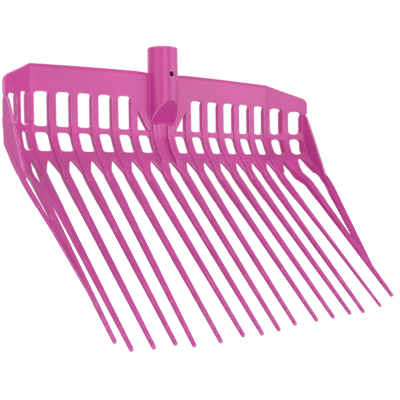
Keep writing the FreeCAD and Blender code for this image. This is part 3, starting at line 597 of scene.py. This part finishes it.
def nameFaces(middle):
    # Which piece of the fork each face belongs to, from the place of its middle.
    x, y, z = middle.T
    side, far = np.where(x < 0, "_left", "_right"), np.abs(x)
    beyond, rise = overSheet(x, y, z)
    names = np.full(len(x), "heel", dtype=object)
    bandSeam, ribSeam = levels["bandFoot"] - seams["rail"], levels["midTop"] + seams["rail"]
    heelSeam = levels["midFoot"] - seams["rail"]
    names[z > heelSeam] = "mid_rail"
    ribs = (z > ribSeam) & (z <= bandSeam)
    names[ribs] = "rib"
    names[ribs & (far < columns[1][1])] = "gusset"
    names[(z > heelSeam) & (z <= bandSeam) & (far < columns[1][0])] = "socket_spine"
    names[z > bandSeam] = "upper_band"
    inFold = (far <= panelEdge) & (y >= drawnY(0 * far, z, 0) - seams["proud"])
    onWing = (far > sheet["fold"]) & ~inFold
    corner = onWing & (far <= panelEdge)
    names[onWing] = "wing_heel"
    names[onWing & (z > levels["midFoot"] - wing["corner"])] = "wing_rail"
    upper = onWing & (z > levels["midTop"] + wing["corner"])
    names[upper] = "wing_rib"
    names[upper & (far > sum(wingOpenings[1]) / 2)] = "wing_edge"
    names[upper & corner] = "rib"
    names[onWing & (z > wing["plateFoot"])] = "wing_plate"
    labels = np.char.add(names.astype(str), side)
    number = np.clip(np.round(far / sheet["pitch"] - 0.5), 1, 6).astype(int).astype(str)
    labels = np.where(names == "rib", np.char.add(np.char.add(labels, "_"), number), labels)
    labels = np.where(names == "socket_spine", "socket_spine", labels)
    reach = np.hypot(x, y)
    rear = sheet["front"] + sheet["ribDepth"]
    held = (reach < socket["radius"] + seams["reach"]) & (z > socket["foot"] - seams["foot"]) & (
        (y < sheet["front"] - seams["proud"]) | (y > rear + seams["proud"])
        | (z > levels["top"] + seams["proud"])
        | ((reach < socket["bore"] + seams["bore"])
           & (z > -socket["boreDepth"] - seams["boreFoot"]))
        | ((y > seams["rear"]) & (z > levels["bandFoot"])))
    labels = np.where(held, "handle_socket", labels)
    # Past the bend: whichever of the tines and strips is nearest.
    share = np.clip(beyond / tines["length"], 0, 1)[:, None]
    sway = np.array(tines["sway"])
    centres = (np.arange(len(sway)) - middleTine + sway * share) * sheet["pitch"]
    gaps = np.hypot(x[:, None] - centres, (rise + sheet["ribDepth"] / 2)[:, None])
    tine = np.char.add("tine_", np.char.zfill((np.argmin(gaps, 1) + 1).astype(str), 2))
    outer, wide = stripAt(beyond + bendLength)
    stripX = outer - wide / 2
    free = ease(beyond / wing["root"])
    own = np.hypot(far - alongWing(wing["tine"]) - wing["shift"] * free,
                   rise - wing["tineCentre"] - wing["rise"] * free)
    strip = np.hypot(far - stripX,
                     rise - (stripX - sheet["fold"]) * leanTan + seams["strip"])
    out = beyond > 0
    labels = np.where(out, tine, labels)
    labels = np.where(out & (own < gaps.min(1)), np.char.add("wing_tine", side), labels)
    labels = np.where(out & (strip < own) & (strip < gaps.min(1)),
                      np.char.add("side_strip", side), labels)
    inFront = np.where(out, rise - (far - sheet["fold"]) * leanTan, drawnY(far, z, 0) - y)
    fin = ((inFront > seams["fin"]) & (far > edgeEnd - wing["finThick"] - seams["finSide"])
           & (z < wing["notchFoot"]) & (beyond < wing["finRun"] + seams["finFoot"]))
    return np.where(fin, np.char.add("side_fin", side), labels)


def capOf(ring, points):
    # Closes a ring of points: the corner whose neighbours lie nearest each other is cut off
    # first, so the cap stays close to the ring whatever way it bends.
    ring, faces = np.array(ring), []
    while len(ring) > 3:
        before, after = np.roll(ring, 1), np.roll(ring, -1)
        n = int(np.argmin(((points[before] - points[after]) ** 2).sum(1)))
        faces.append((before[n], ring[n], after[n]))
        ring = np.delete(ring, n)
    return faces + [tuple(ring)]


def ringsOf(quads):
    # Rings round the open edges of a piece, turned the way that its cap needs.
    edges = np.concatenate([quads[:, [0, 1]], quads[:, [1, 2]], quads[:, [2, 3]],
                            quads[:, [3, 0]]])
    size = int(edges.max()) + 1
    loose = ~np.isin(edges[:, 0] * size + edges[:, 1], edges[:, 1] * size + edges[:, 0])
    following = {}
    for first, last in edges[loose].tolist():
        following.setdefault(last, []).append(first)
    rings = []
    while following:
        start = next(iter(following))
        ring, here = [], start
        while here in following:
            ring.append(here)
            onward = following[here]
            here = onward.pop()
            if not onward:
                del following[ring[-1]]
        rings.append(ring)
    return rings


def splitSkin(points, quads, pull):
    # One closed piece for each name, with the whole skin's normals, so no joint shows.
    labels, owner = np.unique(nameFaces(points[quads].mean(1)), return_inverse=True)
    beyond = overSheet(*points.T)[0] / tines["length"]
    points = warped(points)
    normals = normalsOf(points, quads)
    bulge = -(pull(points) * normals).sum(1, keepdims=True) / skin["voxel"]
    for _ in range(3):
        bulge = bulge + skin["strength"] * pull(bulge)
    pieces = {}
    for number, label in enumerate(labels):
        used, own = np.unique(quads[owner == number], return_inverse=True)
        own = own.reshape(-1, 4)
        where = points[used]
        caps = [face for ring in ringsOf(own) for face in capOf(ring, where) if len(ring) > 2]
        caps = np.array(caps).reshape(-1, 3)
        mesh = bpy.data.meshes.new(label)
        mesh.vertices.add(len(used))
        mesh.vertices.foreach_set("co", (where * mm).ravel())
        corners = np.concatenate([own.ravel(), caps.ravel()]).astype(int)
        mesh.loops.add(len(corners))
        mesh.loops.foreach_set("vertex_index", corners)
        mesh.polygons.add(len(own) + len(caps))
        starts = np.concatenate([np.arange(len(own)) * 4, own.size + np.arange(len(caps)) * 3])
        mesh.polygons.foreach_set("loop_start", starts)
        mesh.update(calc_edges=True)
        mesh.polygons.foreach_set("use_smooth", np.ones(len(starts), bool))
        one, two, three = where[caps].transpose(1, 0, 2)
        flat = np.cross(two - one, three - one)
        flat /= np.maximum(np.linalg.norm(flat, axis=1, keepdims=True), 1e-9)
        mesh.normals_split_custom_set(
            np.concatenate([normals[used][own.ravel()], np.repeat(flat, 3, 0)]).tolist())
        for name, values in (("bulge", bulge[used, 0]), ("along", beyond[used])):
            layer = mesh.attributes.new(name, "FLOAT", "POINT")
            layer.data.foreach_set("value", values.astype(np.float32))
        pieces[str(label)] = place(str(label) + "_skin", mesh)
    return pieces


makeBack()
makeWing()
makeEdge()
makeTines()
makeSocket()
drillScrewHole()
print("shells:", len(shapes), f"{time.time() - started:.1f} s")
points, quads, pull = runTogether()
print("skin:", len(points), "points", f"{time.time() - started:.1f} s")
pieces = splitSkin(points, quads, pull)
for label, piece in pieces.items():
    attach(piece, "root")
    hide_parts(label)
print("pieces:", len(pieces), f"{time.time() - started:.1f} s")
print("largest:", max(len(p.data.polygons) * 2 for p in pieces.values()), "triangles of",
      sum(len(p.data.polygons) * 2 for p in pieces.values()))


# Plastic: one colour all through, with a fine grain, flow marks from the mould, rubbed tips,
# painted shade in inner corners, and a painted highlight of lighter colour along convex edges
# that also stands for their wear. Scales are per metre, and relief is in metres.
# The worn colour and wear give real wear at the tips and a painted highlight along convex edges.
finishes = {
    "backPlastic": {"Colour": (0.605, 0.052, 0.330, 1), "Worn And Highlight Colour": (0.80, 0.27, 0.57, 1),
                    "Grain": 1500.0, "Relief": 0.00010, "Flow": (9.0, 9.0, 60.0), "Wear And Highlight": 0.9,
                    "Roughness": 0.36, "Edge": 0.035},
    "tinePlastic": {"Colour": (0.590, 0.044, 0.322, 1), "Worn And Highlight Colour": (0.78, 0.27, 0.56, 1),
                    "Grain": 1300.0, "Relief": 0.00008, "Flow": (150.0, 14.0, 14.0),
                    "Wear And Highlight": 0.9, "Roughness": 0.33, "Edge": 0.062},
    "socketPlastic": {"Colour": (0.595, 0.044, 0.322, 1), "Worn And Highlight Colour": (0.80, 0.27, 0.57, 1),
                      "Grain": 1500.0, "Relief": 0.00008, "Flow": (110.0, 110.0, 7.0),
                      "Wear And Highlight": 0.9, "Roughness": 0.34, "Edge": 0.02},
    "borePlastic": {"Colour": (0.60, 0.05, 0.32, 1), "Worn And Highlight Colour": (0.68, 0.14, 0.42, 1),
                    "Grain": 900.0, "Relief": 0.00025, "Flow": (40.0, 40.0, 300.0),
                    "Wear And Highlight": 1.0, "Roughness": 0.62, "Edge": 0.03},
}
marks = {                       # each noise's scale, and the range of it that shows
    "peel": 260.0, "cloud": 17.0, "patch": 120.0, "scuff": 3.0, "scratch": (90.0, 420.0, 60.0),
    "middle": (0.3, 0.7), "patchRange": (0.34, 0.62), "scuffRange": (0.48, 0.66),
    "edgeRange": (0.0, 0.045), "hollowRange": (-0.05, -0.004), "tipRange": (0.55, 1.0),
    "flowShade": (0.90, 1.07), "cloudShade": (0.94, 1.04), "paintedHollowShade": (0.84, 1.0),
    "patchShare": (0.35, 1.0), "tipShare": (0.0, 0.8), "flowRough": (-0.05, 0.06),
    "wornRough": 0.18, "grainShare": 0.5,
}


def node(tree, kind, label="", **settings):
    made = tree.nodes.new("ShaderNode" + kind)
    made.label = label
    for key, value in settings.items():
        if hasattr(made, key):
            setattr(made, key, value)
        else:
            made.inputs[key.replace("_", " ")].default_value = value
    return made


def maths(tree, kind, first, second, clamp=False):
    made = node(tree, "Math", operation=kind, use_clamp=clamp)
    for entry, value in zip(made.inputs, (first, second)):
        if isinstance(value, float):
            entry.default_value = value
        else:
            tree.links.new(value, entry)
    return made.outputs[0]


def ranged(tree, value, shown, given=(0.0, 1.0), kind="SMOOTHSTEP"):
    made = node(tree, "MapRange", interpolation_type=kind, From_Min=shown[0],
                From_Max=shown[1], To_Min=given[0], To_Max=given[1])
    tree.links.new(value, made.inputs["Value"])
    return made.outputs["Result"]


def buildFinishGroup():
    tree = bpy.data.node_groups.new("mouldedFinish", "ShaderNodeTree")
    kinds = {"Colour": "Color", "Worn And Highlight Colour": "Color", "Flow": "Vector", "Normal": "Vector"}
    for way, names in (("INPUT", list(finishes["backPlastic"])),
                       ("OUTPUT", ["Colour", "Roughness", "Normal"])):
        for name in names:
            tree.interface.new_socket(name, in_out=way,
                                      socket_type="NodeSocket" + kinds.get(name, "Float"))
    given = tree.nodes.new("NodeGroupInput").outputs
    out = tree.nodes.new("NodeGroupOutput").inputs
    link = tree.links.new
    spot = node(tree, "TexCoord").outputs["Object"]

    def noise(label, scale, detail, vector=spot):
        made = node(tree, "TexNoise", label, Scale=scale, Detail=detail, Roughness=0.6)
        link(vector, made.inputs["Vector"])
        return made

    grain = noise("grain", 1.0, 2.0)
    link(given["Grain"], grain.inputs["Scale"])
    peel = noise("orange peel", marks["peel"], 1.0)
    stretched = node(tree, "Mapping", "flow direction")
    link(spot, stretched.inputs["Vector"])
    link(given["Flow"], stretched.inputs["Scale"])
    flow = noise("flow marks", 1.0, 5.0, stretched.outputs["Vector"]).outputs["Fac"]
    cloud = noise("cloud", marks["cloud"], 3.0).outputs["Fac"]
    patch = noise("patches of edge wear and highlight", marks["patch"], 4.0).outputs["Fac"]
    scratch = node(tree, "Mapping", "scratch direction", Scale=marks["scratch"])
    link(spot, scratch.inputs["Vector"])
    scuff = noise("scuffs", marks["scuff"], 3.0, scratch.outputs["Vector"]).outputs["Fac"]

    bulge = node(tree, "Attribute", "rounded edges", attribute_name="bulge").outputs["Fac"]
    along = node(tree, "Attribute", "way to the tip", attribute_name="along").outputs["Fac"]
    # Painted highlight: convex edges take the lighter worn colour in patches, standing for the
    # highlights of rounded edges as well as their wear; the scuffed tips are real wear.
    sharp = maths(tree, "SUBTRACT", bulge, given["Edge"])
    edge = maths(tree, "MULTIPLY", ranged(tree, sharp, marks["edgeRange"]),
                 ranged(tree, patch, marks["patchRange"], marks["patchShare"]))
    tip = maths(tree, "MULTIPLY", ranged(tree, along, marks["tipRange"], marks["tipShare"]),
                ranged(tree, scuff, marks["scuffRange"]))
    wearAndHighlight = maths(tree, "MULTIPLY", maths(tree, "MAXIMUM", edge, tip), given["Wear And Highlight"])
    # Flow marks and clouds shade the colour, and inner corners get painted shade.
    shade = maths(tree, "MULTIPLY", ranged(tree, flow, marks["middle"], marks["flowShade"]),
                  ranged(tree, cloud, marks["middle"], marks["cloudShade"]))
    shade = maths(tree, "MULTIPLY", shade,
                  ranged(tree, bulge, marks["hollowRange"], marks["paintedHollowShade"]))
    deep = node(tree, "HueSaturation", "shade")
    link(given["Colour"], deep.inputs["Color"])
    link(shade, deep.inputs["Value"])
    mixed = node(tree, "Mix", "rubbed and highlighted", data_type="RGBA")
    link(wearAndHighlight, mixed.inputs["Factor"])
    link(deep.outputs["Color"], mixed.inputs["A"])
    link(given["Worn And Highlight Colour"], mixed.inputs["B"])
    link(mixed.outputs["Result"], out["Colour"])
    rough = maths(tree, "ADD", given["Roughness"],
                  ranged(tree, flow, marks["middle"], marks["flowRough"]))
    rough = maths(tree, "ADD", rough, maths(tree, "MULTIPLY", wearAndHighlight, marks["wornRough"]))
    link(rough, out["Roughness"])
    height = maths(tree, "MULTIPLY", grain.outputs["Fac"], marks["grainShare"])
    height = maths(tree, "ADD", height, peel.outputs["Fac"])
    height = maths(tree, "SUBTRACT", height, maths(tree, "MULTIPLY", wearAndHighlight, scuff))
    bump = node(tree, "Bump", "grain", Strength=0.6)
    link(height, bump.inputs["Height"])
    link(given["Relief"], bump.inputs["Distance"])
    link(bump.outputs["Normal"], out["Normal"])
    return tree


def makePlastic(name, group):
    material = bpy.data.materials.new(name)
    material.use_nodes = True
    tree = material.node_tree
    shader = tree.nodes["Principled BSDF"]
    shader.inputs["IOR"].default_value = 1.49
    made = tree.nodes.new("ShaderNodeGroup")
    made.node_tree = group
    for key, value in finishes[name].items():
        made.inputs[key].default_value = value
    for source, target in (("Colour", "Base Color"), ("Roughness", "Roughness"),
                           ("Normal", "Normal")):
        tree.links.new(made.outputs[source], shader.inputs[target])
    return material


def dress(label, piece, plastics):
    if label.startswith(("tine", "wing_tine", "side_strip")):
        name = "tinePlastic"
    elif label.startswith(("handle", "socket", "gusset")):
        name = "socketPlastic"
    else:
        name = "backPlastic"
    piece.data.materials.append(plastics[name])
    if label == "handle_socket":        # its bore, too deep for the mould's polish, is rougher
        piece.data.materials.append(plastics["borePlastic"])
        middle = np.empty(len(piece.data.polygons) * 3)
        piece.data.polygons.foreach_get("center", middle)
        x, y, z = middle.reshape(-1, 3).T / mm
        inside = (np.hypot(x, y) < socket["bore"] + 0.6) & (z < -1.5)
        inside &= z > -socket["boreDepth"] - 1.5
        piece.data.polygons.foreach_set("material_index", inside.astype(np.int32))


finish = buildFinishGroup()
plastics = {name: makePlastic(name, finish) for name in finishes}
for label, piece in pieces.items():
    dress(label, piece, plastics)
print("materials:", ", ".join(plastics), f"{time.time() - started:.1f} s")


# Stage: pale floor, soft lamps, and the camera where the photograph was taken from
camera = {"place": (-542.1, -700.5, -149.2), "azimuth": 0.7029, "elevation": -0.0215,
          "roll": 0.0146, "lens": 71.85, "sensor": 36.0, "clip": (0.01, 20.0)}
stage = {"floor": cadBox[0][2] - 0.0005, "reach": 4.0, "white": 0.9, "rough": 0.9,
         # The floor glows a little to the camera, and fully far out, so no horizon shows.
         "glow": (0.5, 1.1), "glowFrom": (0.6, 1.6), "world": 0.46, "aim": (0, 0, -0.12),
         # each lamp's place in metres, size and power
         "lamps": {"front": ((-0.7, -2.3, -0.1), 1.3, 21.0),
                   "right": ((1.75, -1.75, 0.0), 1.9, 24.0),
                   "left": ((-2.0, -0.4, 0.35), 1.2, 9.0),
                   "rear": ((0.4, 1.9, 1.0), 1.4, 16.0)}}


def makeCamera():
    data = bpy.data.cameras.new("camera")
    data.lens, data.sensor_width = camera["lens"], camera["sensor"]
    data.clip_start, data.clip_end = camera["clip"]
    thing = place("camera", data)
    a, e, r = camera["azimuth"], camera["elevation"], camera["roll"]
    ahead = Vector((math.sin(a) * math.cos(e), math.cos(a) * math.cos(e), math.sin(e)))
    right = Vector((math.cos(a), -math.sin(a), 0))
    down = ahead.cross(right)
    across = math.cos(r) * right + math.sin(r) * down
    up = math.sin(r) * right - math.cos(r) * down
    turned = Matrix((across, up, -ahead)).transposed().to_4x4()
    turned.translation = Vector(camera["place"]) * mm
    thing.matrix_world = turned
    bpy.context.scene.camera = thing


def makeFloor():
    r, z = stage["reach"], stage["floor"]
    mesh = bpy.data.meshes.new("floor")
    mesh.from_pydata([(-r, -r, z), (r, -r, z), (r, r, z), (-r, r, z)], [], [(0, 1, 2, 3)])
    material = bpy.data.materials.new("paleFloor")
    material.use_nodes = True
    tree = material.node_tree
    shader = tree.nodes["Principled BSDF"].inputs
    shader["Base Color"].default_value = (stage["white"],) * 3 + (1,)
    shader["Roughness"].default_value = stage["rough"]
    shader["Emission Color"].default_value = (1, 1, 1, 1)
    far = node(tree, "VectorMath", operation="LENGTH")
    tree.links.new(node(tree, "TexCoord").outputs["Object"], far.inputs[0])
    glow = ranged(tree, far.outputs["Value"], stage["glowFrom"], stage["glow"], "LINEAR")
    seen = node(tree, "LightPath").outputs["Is Camera Ray"]
    tree.links.new(maths(tree, "MULTIPLY", seen, glow), shader["Emission Strength"])
    mesh.materials.append(material)
    place("floor", mesh)


def makeLight():
    for name, (spot, size, power) in stage["lamps"].items():
        data = bpy.data.lights.new(name, "AREA")
        data.size, data.energy = size, power
        lamp = place(name, data)
        lamp.location = spot
        aim = Vector(stage["aim"]) - Vector(spot)
        lamp.rotation_euler = aim.to_track_quat("-Z", "Y").to_euler()
    # What a camera, mirror or glass sees is white; what lights the object is at a plain level.
    world = bpy.data.worlds.new("world")
    world.use_nodes = True
    tree = world.node_tree
    path = node(tree, "LightPath").outputs
    seen = maths(tree, "ADD", path["Is Camera Ray"], path["Is Glossy Ray"])
    seen = maths(tree, "ADD", seen, path["Is Transmission Ray"], clamp=True)
    back = tree.nodes["Background"].inputs
    back["Color"].default_value = (1, 1, 1, 1)
    tree.links.new(ranged(tree, seen, (0.0, 1.0), (stage["world"], 1.0), "LINEAR"),
                   back["Strength"])
    bpy.context.scene.world = world


makeCamera()
makeFloor()
makeLight()
bpy.context.scene.view_settings.view_transform = "Standard"
print("stage:", ", ".join(stage["lamps"]), "lamps", f"{time.time() - started:.1f} s")
